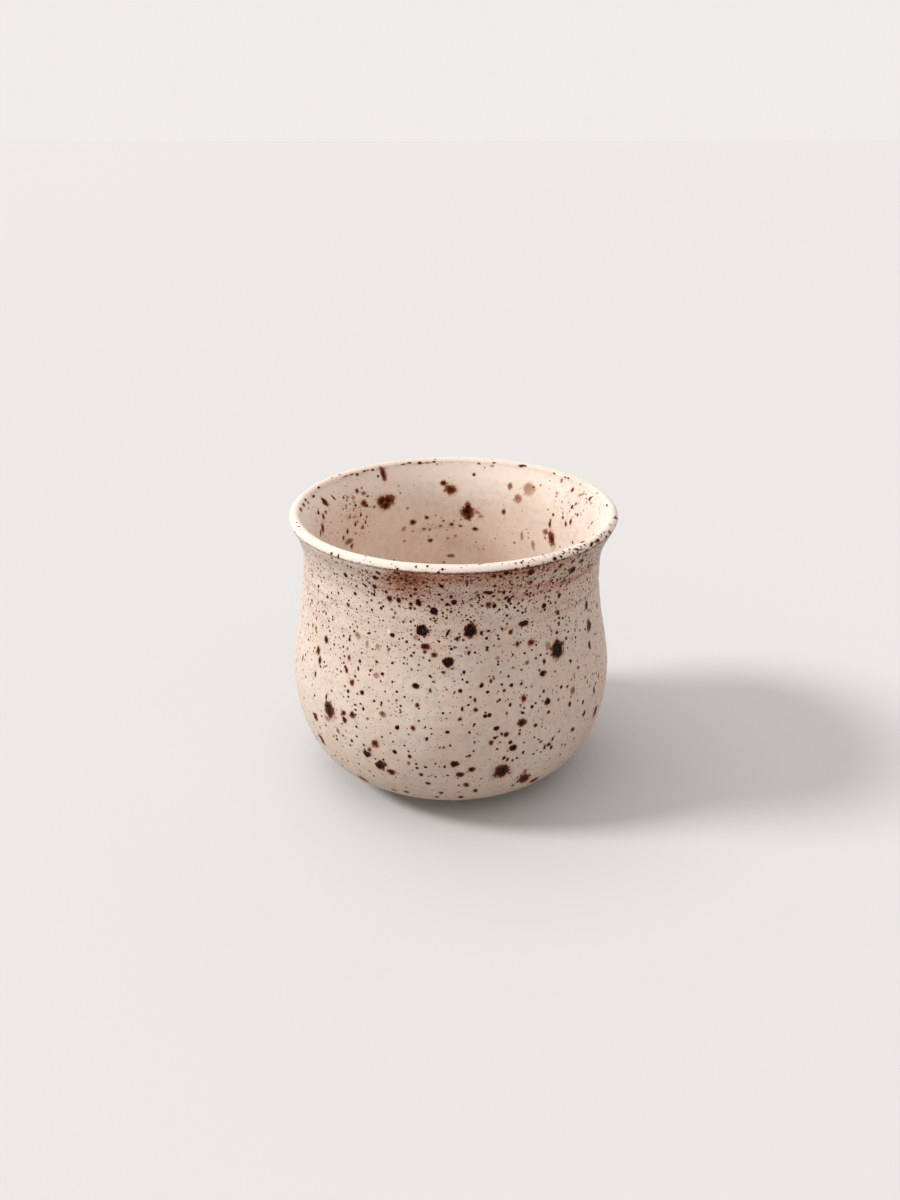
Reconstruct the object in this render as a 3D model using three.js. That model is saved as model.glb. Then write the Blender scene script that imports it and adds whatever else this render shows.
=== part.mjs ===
// Handleless cup of wheel-thrown speckled stoneware: a clay pot with a turned foot,
// a glaze coat poured inside and a glaze coat dipped on outside.
// Millimetres, +Z up. The origin is the centre of the circle on which the foot rests.

import * as THREE from 'three';

// Driving dimensions of the finished cup, glaze included
const rim_height = 78.8;
const lip_radius = 44.8;
const lip_thickness = 3.2;
const neck_radius = 41.4;
const neck_height = 66.4;
const belly_radius = 45.8;
const belly_height = 31.6;

// Driving dimensions of the wall and the floor, glaze included
const neck_wall = 3.2;
const belly_wall = 3.8;
const floor_thickness = 5.0;

// Driving dimensions of the turned foot
const foot_radius = 27.0;
const foot_width = 4.6;
const foot_height = 2.3;
const foot_recess = 1.9;
const foot_edge = 0.6;

// Driving dimensions of the glaze
const glaze_thickness = 0.45;
const glaze_line_height = 4.2;

// Hairline kept between coat and clay, and between the two coats at the rim,
// so that no two solids share a face
const bond_gap = 0.05;

// Slopes of the outline, in degrees
const underside_slope = 6.3;
const lip_undercut = 27.5;
const throat_slope = 24.0;

// How far each curve of the outline holds the direction that it leaves or arrives with
const underside_run = 12.9;
const belly_drop = 16.2;
const belly_rise = 7.6;
const neck_drop = 14.4;
const neck_rise = 4.3;
const flare_run = 2.8;
const throat_run = 2.6;
const inner_neck_rise = 4.6;
const inner_belly_drop = 20.0;
const floor_run = 34.0;

// Facets: corners of the round, and steps along each stretch of the outline
const corners = 48;
const bare_steps = 3;
const underside_steps = 8;
const shoulder_steps = 6;
const flare_steps = 4;
const bead_steps = 5;
const throat_steps = 4;
const inner_shoulder_steps = 5;
const bowl_steps = 8;
const foot_edge_steps = 2;

const vec = (radius, height) => new THREE.Vector2(radius, height);

// A curve between two points that leaves and arrives along given directions
function sweep(start, leave, leave_run, end, arrive, arrive_run) {
  const first_handle = start.clone().addScaledVector(leave, leave_run);
  const last_handle = end.clone().addScaledVector(arrive, -arrive_run);
  return new THREE.CubicBezierCurve(start, first_handle, last_handle, end);
}

const up = vec(0, 1);
const down = vec(0, -1);
const inward = vec(-1, 0);

// The lip is a round bead. Angles on it are counted from straight outwards, and the
// finished outline runs up the outside, over the bead and down the inside.
const bead_radius = lip_thickness / 2;
const bead_centre = vec(lip_radius - bead_radius, rim_height - bead_radius);
const bead_start = -THREE.MathUtils.degToRad(lip_undercut);
const bead_end = Math.PI - THREE.MathUtils.degToRad(throat_slope);
const crest = Math.PI / 2;
const half_seam = Math.atan2(bond_gap / 2, bead_radius);

function bead_point(angle) {
  const spoke = vec(Math.cos(angle), Math.sin(angle));
  return bead_centre.clone().addScaledVector(spoke, bead_radius);
}

function bead_direction(angle) {
  return vec(-Math.sin(angle), Math.cos(angle));
}

function bead_arc(from, to) {
  return new THREE.EllipseCurve(
    bead_centre.x, bead_centre.y, bead_radius, bead_radius, from, to, false);
}

// Outside of the finished cup, from the foot up to the crest of the lip
const slope = THREE.MathUtils.degToRad(underside_slope);
const belly = vec(belly_radius, belly_height);
const neck = vec(neck_radius, neck_height);
const underside = sweep(
  vec(foot_radius, foot_height), vec(Math.cos(slope), Math.sin(slope)), underside_run,
  belly, up, belly_drop);
const shoulder = sweep(belly, up, belly_rise, neck, up, neck_drop);
const flare = sweep(
  neck, up, neck_rise,
  bead_point(bead_start), bead_direction(bead_start), flare_run);
const outer_bead = bead_arc(bead_start, crest - half_seam);

// Inside of the finished cup, from the crest of the lip down to the middle of the floor
const inner_belly = vec(belly_radius - belly_wall, belly_height);
const inner_neck = vec(neck_radius - neck_wall, neck_height);
const floor_middle = vec(0, foot_recess + floor_thickness);
const inner_bead = bead_arc(crest + half_seam, bead_end);
const throat = sweep(
  bead_point(bead_end), bead_direction(bead_end), throat_run,
  inner_neck, down, inner_neck_rise);
const inner_shoulder = sweep(inner_neck, down, neck_drop, inner_belly, down, belly_rise);
const bowl = sweep(inner_belly, down, inner_belly_drop, floor_middle, inward, floor_run);

// Points along a stretch of a curve, each sunk square into the wall by a depth
function trace(curve, depth, steps, from = 0, to = 1) {
  const points = [];
  for (let step = 0; step <= steps; step += 1) {
    const share = from + (to - from) * step / steps;
    const into_wall = curve.getTangent(share).rotateAround(vec(0, 0), Math.PI / 2);
    points.push(curve.getPoint(share).addScaledVector(into_wall, depth));
  }
  return points;
}

// Joins traced stretches end to end, without the repeated point at each joint
function chain(...stretches) {
  return stretches.flatMap((points, index) => (index === 0 ? points : points.slice(1)));
}

// The share of a rising curve that lies below a height, found by ever smaller strides
function share_below(curve, height) {
  let share = 0;
  for (let stride = 0.5; stride > Number.EPSILON; stride /= 2) {
    if (curve.getPoint(share + stride).y < height) share += stride;
  }
  return share;
}

const glaze_start = share_below(underside, glaze_line_height);

function glazed_outside(depth) {
  return chain(
    trace(underside, depth, underside_steps, glaze_start),
    trace(shoulder, depth, shoulder_steps),
    trace(flare, depth, flare_steps),
    trace(outer_bead, depth, bead_steps));
}

function glazed_inside(depth) {
  const line = chain(
    trace(inner_bead, depth, bead_steps),
    trace(throat, depth, throat_steps),
    trace(inner_shoulder, depth, inner_shoulder_steps),
    trace(bowl, depth, bowl_steps));
  line.at(-1).set(0, floor_middle.y - depth);
  return line;
}

// The foot ring stands proud of a shallow recess, and its two lower edges are rounded
function foot_outline() {
  const inner_radius = foot_radius - foot_width;
  const inner_edge = new THREE.EllipseCurve(
    inner_radius + foot_edge, foot_edge, foot_edge, foot_edge,
    Math.PI, Math.PI * 1.5, false);
  const outer_edge = new THREE.EllipseCurve(
    foot_radius - foot_edge, foot_edge, foot_edge, foot_edge,
    Math.PI * 1.5, Math.PI * 2, false);
  return [
    vec(0, foot_recess),
    vec(inner_radius, foot_recess),
    ...inner_edge.getPoints(foot_edge_steps),
    ...outer_edge.getPoints(foot_edge_steps),
  ];
}

function clay_outline() {
  const depth = glaze_thickness + bond_gap;
  const bare_clay = trace(underside, depth, bare_steps, 0, glaze_start);
  const outside = chain(bare_clay, glazed_outside(depth));
  return [...foot_outline(), ...outside, ...glazed_inside(depth)];
}

function outer_glaze_outline() {
  const face = glazed_outside(0);
  const back = glazed_outside(glaze_thickness).reverse();
  return [...face, ...back, face[0]];
}

function inner_glaze_outline() {
  const back = glazed_inside(glaze_thickness).reverse();
  return [...back, ...glazed_inside(0)];
}

// Turns an outline of radii and heights round the upright axis
function turned(name, outline, material) {
  const geometry = new THREE.LatheGeometry(outline, corners);
  geometry.rotateX(Math.PI / 2);
  const mesh = new THREE.Mesh(geometry, material);
  mesh.name = name;
  return mesh;
}

const bare_stoneware = new THREE.MeshStandardMaterial({
  color: 0xa98a6c, roughness: 0.9, metalness: 0,
});
const speckled_glaze = new THREE.MeshStandardMaterial({
  color: 0xe3d2c1, roughness: 0.42, metalness: 0,
});

const cup = new THREE.Group();
cup.add(
  turned('clay_body', clay_outline(), bare_stoneware),
  turned('outer_glaze', outer_glaze_outline(), speckled_glaze),
  turned('inner_glaze', inner_glaze_outline(), speckled_glaze),
);

export default cup;
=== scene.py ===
# %% [markdown]
# # A handleless cup of speckled stoneware
# The real cup is a clay pot thrown on a wheel, with one glaze coat poured inside it and
# one dipped on outside. Here each of those three pieces is its own closed mesh. All of
# them are turned on the same axis, as on the wheel, and then bent by the same slight
# hand wobble, so that they keep fitting each other.

# %% Load the construction that the pieces dress
import math
import random

import bmesh
import bpy
from mathutils import Matrix, Vector, noise
from mathutils.bvhtree import BVHTree
from mathutils.geometry import interpolate_bezier
from mathutils.kdtree import KDTree


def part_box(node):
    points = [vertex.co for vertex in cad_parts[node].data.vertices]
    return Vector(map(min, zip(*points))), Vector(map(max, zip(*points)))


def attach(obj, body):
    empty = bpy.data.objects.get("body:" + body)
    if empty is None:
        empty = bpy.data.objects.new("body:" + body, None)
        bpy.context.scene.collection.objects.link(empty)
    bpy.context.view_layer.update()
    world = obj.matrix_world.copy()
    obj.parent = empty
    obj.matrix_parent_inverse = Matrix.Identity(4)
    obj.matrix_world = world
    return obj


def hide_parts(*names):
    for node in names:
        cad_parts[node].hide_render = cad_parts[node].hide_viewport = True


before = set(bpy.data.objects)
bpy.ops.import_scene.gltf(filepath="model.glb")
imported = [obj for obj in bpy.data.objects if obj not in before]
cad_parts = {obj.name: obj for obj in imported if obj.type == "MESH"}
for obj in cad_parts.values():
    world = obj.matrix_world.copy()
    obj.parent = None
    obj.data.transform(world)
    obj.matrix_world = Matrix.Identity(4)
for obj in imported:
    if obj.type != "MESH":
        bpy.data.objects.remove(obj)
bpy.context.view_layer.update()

MM = 0.001
coat_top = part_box("outer_glaze")[1]
belly_radius = coat_top.x
rim_height = coat_top.z
print("cup:", round(2 * belly_radius / MM, 1), "mm wide,", round(rim_height / MM, 1), "mm tall")

# %% [markdown]
# ## The camera comes first
# Many marks on this cup are placed where a picture shows them, and that needs the exact
# eye. A picture holds enough to find it: any flat rectangle of known proportions gives
# the tilt and the focal length, and one round rim gives the distance. The values below
# are real distances, and the lens is worked out from the focal length in pixels.

# %% Camera
photo_width = 900
photo_height = 1200
focal_pixels = 1162.6
sensor_side = 36.0
camera_back = 302.5 * MM
camera_up = 189.6 * MM
camera_pitch = math.radians(24.82)
camera_turn = math.radians(-0.08)
camera_roll = math.radians(-0.12)

camera_data = bpy.data.cameras.new("camera")
camera_data.sensor_fit = "VERTICAL"
camera_data.sensor_height = sensor_side
camera_data.lens = sensor_side * focal_pixels / photo_height
camera_data.clip_start = 10 * MM
camera = bpy.data.objects.new("camera", camera_data)
bpy.context.scene.collection.objects.link(camera)
bpy.context.scene.camera = camera
camera.matrix_world = (
    Matrix.Translation((0, -camera_back, camera_up))
    @ Matrix.Rotation(-camera_turn, 4, "Z")
    @ Matrix.Rotation(math.pi / 2 - camera_pitch, 4, "X")
    @ Matrix.Rotation(camera_roll, 4, "Z")
)
print("lens:", round(camera_data.lens, 2), "mm on a", sensor_side, "mm side")


def sight_line(pixel_x, pixel_y):
    """Direction from the camera through a pixel of the 900 by 1200 picture."""
    right = (pixel_x - (photo_width - 1) / 2) / focal_pixels
    above = ((photo_height - 1) / 2 - pixel_y) / focal_pixels
    return (camera.matrix_world.to_3x3() @ Vector((right, above, -1))).normalized()


def pixels_per_metre(point, along):
    """How long one metre along a direction at a point looks in the picture."""
    away = point - camera.matrix_world.translation
    depth = away.dot(sight_line((photo_width - 1) / 2, (photo_height - 1) / 2))
    across = along - away.normalized() * along.dot(away.normalized())
    return focal_pixels * across.length / depth


# %% [markdown]
# ## The outline of the wall
# A potter judges a cup by its outline: how the belly swells, where the neck draws in and
# how the lip rolls out. It could be a list of many measured points, but a few smooth
# sweeps between named heights say the same thing and stay smooth at any fineness. Each
# sweep is a Bezier curve in the XZ plane. The outline runs up the outside, over the
# round bead of the lip and down the inside to the middle of the floor.

# %% Heights and radii of the finished, glazed wall
lip_radius = 44.8 * MM
lip_thickness = 3.2 * MM
neck_radius = 41.4 * MM
neck_height = 66.4 * MM
belly_height = 31.6 * MM
neck_wall = 3.2 * MM
belly_wall = 3.8 * MM
floor_thickness = 5.0 * MM
foot_radius = 27.0 * MM
foot_width = 4.6 * MM
foot_height = 2.3 * MM
foot_recess = 1.9 * MM
foot_edge = 0.6 * MM
glaze_thickness = 0.45 * MM
glaze_line_height = 4.2 * MM
bond_gap = 0.05 * MM
underside_slope = math.radians(6.3)
lip_undercut = math.radians(27.5)
throat_slope = math.radians(24.0)

# %% How far each sweep holds the direction that it leaves or arrives with
underside_run = 12.9 * MM
belly_drop = 16.2 * MM
belly_rise = 7.6 * MM
neck_drop = 14.4 * MM
neck_rise = 4.3 * MM
flare_run = 2.8 * MM
throat_run = 2.6 * MM
inner_neck_rise = 4.6 * MM
inner_belly_drop = 20.0 * MM
floor_run = 34.0 * MM

# %% Helpers that draw one stretch of outline
bead_radius = lip_thickness / 2
fewest_steps = 4


def spot_at(radius, height):
    """A point of the outline: radius along X, height along Z."""
    return Vector((radius, 0, height))


def sweep(start, leave, end, arrive, length_between):
    """Points of a curve that leaves one point and arrives at another along given arrows."""
    steps = max(fewest_steps, round((end - start).length / length_between))
    return interpolate_bezier(start, start + leave, end - arrive, end, steps + 1)


bead_centre = spot_at(lip_radius - bead_radius, rim_height - bead_radius)


def bead_point(angle):
    """A point on the round bead of the lip. The angle counts from straight outwards."""
    return bead_centre + bead_radius * Vector((math.cos(angle), 0, math.sin(angle)))


def bead_arrow(angle, length):
    """An arrow along the bead, the way that the outline runs over it."""
    return length * Vector((-math.sin(angle), 0, math.cos(angle)))


def bead_arc(start, end, steps):
    """Points along the bead from one angle to another."""
    return [bead_point(start + (end - start) * i / steps) for i in range(steps + 1)]


def joined(*stretches):
    """One line of points, without the repeated point where two stretches meet."""
    line = list(stretches[0])
    for stretch in stretches[1:]:
        line += list(stretch)[1:]
    return line


# %% The places that the outline passes
bead_start = -lip_undercut
bead_end = math.pi - throat_slope
crest = math.pi / 2
up = Vector((0, 0, 1))
inward = Vector((-1, 0, 0))
belly = spot_at(belly_radius, belly_height)
neck = spot_at(neck_radius, neck_height)
inner_belly = spot_at(belly_radius - belly_wall, belly_height)
inner_neck = spot_at(neck_radius - neck_wall, neck_height)
floor_middle = spot_at(0, foot_recess + floor_thickness)
underside_way = Vector((math.cos(underside_slope), 0, math.sin(underside_slope)))

# %% The outline itself, with points closer together where it bends tightly
wall_step = 0.85 * MM
ringed_step = 0.65 * MM
lip_step = 0.4 * MM
line_slack = wall_step / 4

underside = sweep(
    spot_at(foot_radius, foot_height), underside_run * underside_way,
    belly, belly_drop * up, wall_step)
shoulder = sweep(belly, belly_rise * up, neck, neck_drop * up, ringed_step)
flare = sweep(
    neck, neck_rise * up, bead_point(bead_start), bead_arrow(bead_start, flare_run), lip_step)
throat = sweep(
    bead_point(bead_end), bead_arrow(bead_end, throat_run),
    inner_neck, -inner_neck_rise * up, lip_step)
inner_shoulder = sweep(inner_neck, -neck_drop * up, inner_belly, -belly_rise * up, wall_step)
bowl = sweep(inner_belly, -inner_belly_drop * up, floor_middle, floor_run * inward, wall_step)

glazed_underside = [p for p in underside if p.z > glaze_line_height]
bare_underside = [p for p in underside if p.z <= glaze_line_height + line_slack]
outside_wall = joined(glazed_underside, shoulder)
lip_turn_steps = 14
outside_lip = joined(flare, bead_arc(bead_start, crest, lip_turn_steps))
inside_lip = joined(bead_arc(crest, bead_end, lip_turn_steps), throat)
inside_wall = joined(inner_shoulder, bowl)
outside_line = joined(outside_wall, outside_lip)
inside_line = joined(inside_lip, inside_wall)
print("outline:", len(outside_line), "points outside and", len(inside_line), "inside")

# %% [markdown]
# ## Turning a section into a closed shell
# A glaze coat is a thin skin with a face that shows and a back that lies on the clay. Its
# section therefore runs along the face, and back again a glaze thickness deeper. Outside
# that makes a closed loop, and inside a line with both ends on the axis. Spinning either a
# full turn gives a shell with no open edge. The back is never seen, so it has fewer points.

# %% Sections and the spin
around_steps = 300
inner_around_steps = 260
hidden_wall_every = 8
hidden_lip_every = 2
weld_distance = 0.001 * MM


def sunk(line, depth, keep_every=1):
    """A line moved square into the wall by a depth, with only some of its points."""
    moved = []
    for i, point in enumerate(line):
        along = (line[min(i + 1, len(line) - 1)] - line[max(i - 1, 0)]).normalized()
        into_wall = Vector((-along.z, 0, along.x))
        moved.append(point + depth * into_wall)
    last = len(moved) - 1
    return [p for i, p in enumerate(moved) if i % keep_every == 0 or i == last]


def ended_on_axis(line):
    """The same line, with its last point put exactly on the axis."""
    line[-1].x = 0
    return line


def turned(section, closed, steps, showing=slice(0, 0)):
    """A bmesh of a section of points spun a full turn about the upright axis.

    The points in the slice called showing are marked as the face that is seen."""
    bm = bmesh.new()
    skin = bm.verts.layers.float.new("skin")
    verts = [bm.verts.new(p) for p in section]
    for vert in verts[showing]:
        vert[skin] = 1
    edges = [bm.edges.new(pair) for pair in zip(verts, verts[1:])]
    if closed:
        edges.append(bm.edges.new((verts[-1], verts[0])))
    bmesh.ops.spin(
        bm, geom=verts + edges, cent=(0, 0, 0), axis=(0, 0, 1), dvec=(0, 0, 0),
        angle=2 * math.pi, steps=steps, use_merge=True, use_duplicate=False)
    bmesh.ops.remove_doubles(bm, verts=bm.verts, dist=weld_distance)
    bmesh.ops.recalc_face_normals(bm, faces=bm.faces)
    return bm


outer_back = joined(
    sunk(outside_wall, glaze_thickness, hidden_wall_every),
    sunk(outside_lip, glaze_thickness, hidden_lip_every))
outer_coat = turned(
    outside_line + outer_back[::-1], True, around_steps, slice(0, len(outside_line)))
inner_back = joined(
    sunk(inside_lip, glaze_thickness, hidden_lip_every),
    sunk(inside_wall, glaze_thickness, hidden_wall_every))
inner_section = ended_on_axis(inner_back)[::-1] + ended_on_axis(inside_line)
inner_coat = turned(inner_section, False, inner_around_steps, slice(len(inner_back), None))
print("outer coat:", len(outer_coat.faces), "faces; inner coat:", len(inner_coat.faces), "faces")

# %% [markdown]
# ## The hand in it
# No thrown rim is a true circle: it goes slightly oval when the pot is lifted off the
# wheel, and the lip drifts a little to one side. Bending every piece by one function of
# place, rather than each by its own, keeps coats and clay in touch. The amounts are
# tenths of a millimetre, and they never lead outside the construction's own box.

# %% Wobble of the whole cup
wobble_inset = 0.32 * MM
body_drift = Vector((-0.2, -0.15, 0)) * MM
lip_drift = Vector((0.55, 0.2, 0)) * MM
drift_start = 0.7
rim_oval = 0.45 * MM
oval_growth = 3
rim_dip = 0.10 * MM
dip_growth = 6


def smooth_share(value, low, high):
    """0 below low, 1 above high, and an even S-curve between."""
    share = min(max((value - low) / (high - low), 0), 1)
    return share * share * (3 - 2 * share)


def bearing_of(place):
    """The angle round the upright axis at which a place lies."""
    return math.atan2(place.y, place.x)


def way_out(bearing):
    """The level direction away from the axis at a bearing."""
    return Vector((math.cos(bearing), math.sin(bearing), 0))


def wobbled(place):
    """Where the hand of the potter leaves a point of the true round form."""
    height = place.z / rim_height
    bearing = bearing_of(place)
    towards_lip = smooth_share(height, drift_start, 1)
    radius_change = rim_oval * math.cos(2 * bearing) * height ** oval_growth
    radius_change -= wobble_inset * (1 - towards_lip)
    dip = rim_dip * (2 + math.cos(2 * bearing) + math.sin(bearing)) * height ** dip_growth
    reach = min(1, place.xy.length / foot_radius)
    moved = place + reach * radius_change * way_out(bearing)
    moved += body_drift.lerp(lip_drift, towards_lip)
    moved.z -= dip
    return moved


for coat in (outer_coat, inner_coat):
    for vert in coat.verts:
        vert.co = wobbled(vert.co)
    coat.normal_update()

# %% [markdown]
# ## Iron spots
# Grains of iron in the clay melt in the kiln and bleed through the glaze as near-black
# spots with rusty edges. You recognise this cup by them, so each of the plain ones is
# named by the pixel where a picture shows its middle, with its width and height there.
# A line of sight through that pixel is followed to the glaze, and the spot's real size
# follows from how strongly the surface is foreshortened. The fifth number says how rusty
# it is: 0 melted black right to its edge, 1 never melted and stayed reddish brown. A sixth
# says by how many degrees a long spot leans. Where no picture reaches, spots are drawn at
# random, from a fixed seed, in the same mixture.

# %% Spots outside: pixel across, pixel down, width and height in pixels, rust, lean
spots_on_shoulder = [
    (421.6, 630, 12, 12, 0.12), (469.3, 630, 13, 14, 0.25), (556.5, 648.4, 13, 19, 0.22),
    (448, 661.4, 11, 11, 0.2), (424.8, 646.3, 9, 6, 0.5), (433.5, 654.3, 6, 5, 0.8),
    (433.3, 611.1, 9, 7, 0.15), (392, 634.5, 5, 4.5, 0.1), (530.4, 641.8, 6, 6, 0.78),
    (523.4, 622.8, 10, 6, 0.3), (517, 643.8, 4, 4.5, 0.8), (588.5, 624.4, 5, 11, 0.3),
    (589.1, 644.3, 3, 7, 0.4), (586.1, 604.6, 3.5, 8, 0.3), (325.8, 639, 4, 7, 0.6),
    (317.6, 650, 4, 7, 0.6), (319.4, 659.3, 3, 7, 0.5), (447, 633, 2.5, 9, 0.3, -25),
    (456.6, 638.4, 4, 4, 0.5), (481.1, 632.2, 4, 4.5, 0.3), (468.9, 652.5, 3.5, 5, 0.4, -20),
    (510.2, 631.6, 4.5, 5, 0.7), (501.4, 628.2, 3, 3, 0.3), (488.3, 630.5, 3.5, 2.5, 0.2),
    (486, 637.6, 3, 3.5, 0.2), (547.5, 644.8, 4, 5, 1.0), (565.6, 637.6, 2.5, 4, 0.2),
    (556.3, 632.1, 3, 3, 0.2), (567.8, 631.2, 2.5, 2.5, 0.2), (558.5, 622.3, 2.5, 2.5, 0.2),
    (512.4, 654.1, 2, 3.5, 0.3), (526.7, 662.3, 3.5, 3.5, 0.9), (543.7, 660.9, 3, 5, 0.8),
    (541.9, 672.8, 6, 6, 0.35), (497, 657.5, 3.5, 3, 1.0), (463.7, 672, 3, 4, 0.3),
    (570, 660.6, 2.5, 3.5, 0.3), (577.7, 667.2, 2.5, 3, 0.4), (598, 675, 1.5, 5, 0.4),
    (349.1, 639, 2.5, 4, 0.4), (357.2, 634.9, 4, 5, 0.95), (368.6, 632.8, 4, 2.5, 0.5, 20),
    (366.4, 643.8, 2.5, 6, 1.0), (376.6, 645.6, 3, 4, 1.0), (348.6, 657.5, 3, 4.5, 0.8),
    (359.3, 660.9, 3, 4, 0.5), (376.1, 661.4, 3, 2.5, 0.5), (346, 670, 3, 5, 0.5, 15),
    (344.5, 666.4, 2.5, 3, 0.6), (314.9, 673.7, 2.2, 5, 0.6), (375.6, 675.2, 5, 4, 1.0),
    (415.4, 636.9, 4, 4, 0.95), (406.2, 641.4, 3, 3, 0.3), (413.4, 652.3, 2.5, 2.5, 0.4),
    (410.8, 655.3, 2.5, 2.5, 0.4), (429.2, 659.9, 3, 3, 0.4), (452.2, 668.4, 3, 2.5, 0.9),
    (442.6, 671.8, 4, 3, 0.8), (429.2, 675.6, 3, 2.5, 0.4), (312.3, 624.7, 1.8, 4, 0.5),
    (315.5, 627.8, 1.8, 5, 0.5), (302.1, 657.3, 1.3, 7, 0.6), (393, 617, 2.5, 2.5, 0.3),
]
spots_under_lip = [
    (571.3, 569.6, 4.5, 10, 0.3, -30), (530.4, 571.6, 9, 5, 0.3, 35), (506, 572.9, 6, 4, 0.15),
    (487.6, 592.1, 10, 4, 0.15, -8), (493.7, 605.7, 4.5, 4.5, 0.2), (488.1, 604.3, 5.5, 5, 0.75),
    (453.8, 601.9, 5.5, 5.5, 0.2), (447, 604.2, 5, 3.5, 0.3), (418, 601.8, 6, 7, 0.3),
    (410.3, 603.4, 4.5, 4, 0.5), (409.8, 607.8, 3, 3, 0.7), (398.2, 599.8, 4, 5, 0.4),
    (389.4, 598.7, 6, 5, 0.4), (374.5, 577.2, 5, 4.5, 0.2, -20), (374.1, 585.9, 4.5, 5, 0.2),
    (543.7, 605.2, 5, 5.5, 0.2), (493.8, 575.7, 4.5, 3.5, 0.1), (500.3, 576.2, 3.5, 3.5, 0.2),
    (538.2, 585.5, 2.5, 3, 0.3), (503.6, 591.6, 3, 4, 0.2), (493.2, 596, 4, 3, 0.3),
    (508.6, 599.8, 4, 4.5, 0.2), (499.2, 609.1, 3, 2.5, 0.2), (557.4, 611.9, 3, 4, 0.4),
    (559, 595, 3, 5, 0.3, -25), (596.3, 605.3, 1.5, 6, 0.4), (377.6, 572.7, 5, 2.5, 0.2, -20),
    (364.9, 585.4, 4.5, 2, 0.2, -25), (345.4, 574.7, 2.5, 6, 0.3, 35), (354.2, 593.1, 3, 3.5, 0.3),
    (337.7, 556.3, 2.2, 6, 0.4), (327.1, 596.6, 2.5, 2.5, 0.3), (373.6, 594.2, 3, 3.5, 0.3),
    (428.6, 606.2, 2.2, 4.5, 0.3, 35), (441, 585.5, 5, 3, 0.2), (347.6, 604.3, 3, 4, 0.8),
    (311.3, 600.2, 1.8, 4, 0.4), (529.9, 582, 4.5, 4, 0.8), (560, 565.6, 5, 3, 0.4, 30),
    (581, 560, 3, 4, 0.4, -30), (616, 517, 1.5, 5, 0.4), (609.5, 532, 2, 5, 0.4),
]
spots_on_belly = [
    (328.6, 709.3, 10, 16, 0.45), (351.6, 682.4, 5, 6, 0.75), (343.5, 712.6, 5, 5, 0.7),
    (351.6, 714, 5, 7, 0.6), (344, 719.2, 5, 5.5, 0.4), (361.4, 691.7, 4, 5, 0.2),
    (415.5, 685.2, 7, 5.5, 0.3, -20), (416.8, 704.9, 4, 5, 0.85), (396.6, 727.3, 5, 5, 0.1),
    (512.4, 747.3, 8, 5, 0.4, 12), (505.3, 734.6, 5, 5, 0.5), (496, 727.8, 6, 4.5, 0.15, 20),
    (521.2, 722, 9, 7, 0.6), (523.4, 697.8, 5.5, 8, 0.65), (547, 701, 6, 6, 0.35),
    (594.6, 711, 4, 12, 0.4, -10), (347.5, 690.6, 2.5, 3.5, 0.3), (325.6, 696.7, 2.2, 5, 0.5),
    (326.6, 718, 5, 4, 1.0), (314.9, 716.1, 3, 8, 0.5, 30), (321.2, 738.8, 2.5, 13, 0.6, 25),
    (354.7, 704.4, 3, 2.5, 0.3), (360.3, 703.4, 2.5, 2.5, 0.4), (362.8, 708.5, 2.2, 3.5, 0.3),
    (337.3, 730.4, 3, 4, 0.9), (351.1, 740.1, 3, 3, 0.7), (381.8, 713.6, 5, 4.5, 0.9),
    (412.3, 727.9, 4.5, 5, 0.8), (418.4, 720.7, 3, 2.5, 0.8), (424.6, 726.8, 2.2, 2.2, 0.2),
    (432.7, 681.4, 2.5, 2, 0.2), (429.7, 690.1, 2, 4, 0.7), (447, 731.9, 4, 3, 0.3),
    (426.1, 738.6, 3, 4, 0.2, -20), (438.9, 747.2, 2.5, 2.5, 0.5), (442.9, 747.2, 2.5, 2.5, 0.4),
    (449.7, 745.3, 2.5, 2.5, 0.4), (481.1, 685.2, 4.5, 4.5, 0.4), (487.1, 691.7, 3.5, 3, 0.1),
    (490.4, 680.9, 3, 4.5, 0.8), (508, 675.9, 2.2, 2.5, 0.3), (511.3, 684.6, 3.5, 4, 0.3),
    (503.7, 690.3, 3.5, 3, 0.85), (509.7, 704.4, 3, 4.5, 0.15), (499.2, 699.3, 3, 2.5, 0.3),
    (531.6, 706.2, 3, 4, 0.3, -20), (569.4, 703.4, 3, 5, 0.4), (582.5, 701.5, 2, 4.5, 0.2),
    (572.3, 690.2, 3.5, 6, 0.9, -20), (560.7, 686.4, 2.5, 3.5, 0.3), (566.7, 686.1, 2.2, 2.5, 0.3),
    (593.5, 689.7, 2.2, 7, 0.4), (583.7, 712.8, 2, 6, 0.7, -15), (548, 711.9, 3, 3.5, 0.2),
    (522.2, 712.4, 5, 3, 0.5, -35), (535.4, 725.2, 4, 4, 0.4), (500.9, 733.3, 2.5, 2.5, 0.5),
    (494.9, 737.3, 3, 3, 0.3), (490.7, 742.4, 4, 5, 0.7), (509.7, 742, 4, 4, 0.4),
    (519.3, 733.3, 2.5, 2.5, 0.5), (544.2, 746.6, 3, 5, 0.7), (548, 743.9, 3, 4, 0.4, -25),
    (550.9, 747, 2.5, 4, 0.5), (552.2, 738.5, 2.5, 4, 0.4), (540.6, 741.3, 3, 3, 0.9),
    (572.2, 728.8, 3, 4.5, 0.8, -30), (573.6, 738.2, 2, 3, 0.5), (461.8, 708.6, 3, 5.5, 0.15),
    (468.1, 704.5, 3, 2.5, 0.3), (475.6, 709.4, 5, 3.5, 0.7), (484.4, 715.5, 3.5, 4, 0.3),
    (489, 714.6, 4.5, 4, 0.3), (459.6, 718.8, 4, 3.5, 0.6), (469.1, 732.4, 2.5, 2.5, 0.3),
    (474.6, 699.6, 2.5, 4, 0.8), (506.4, 712.8, 2.2, 3.5, 0.8), (521, 683, 2.2, 3, 0.4),
]
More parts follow.
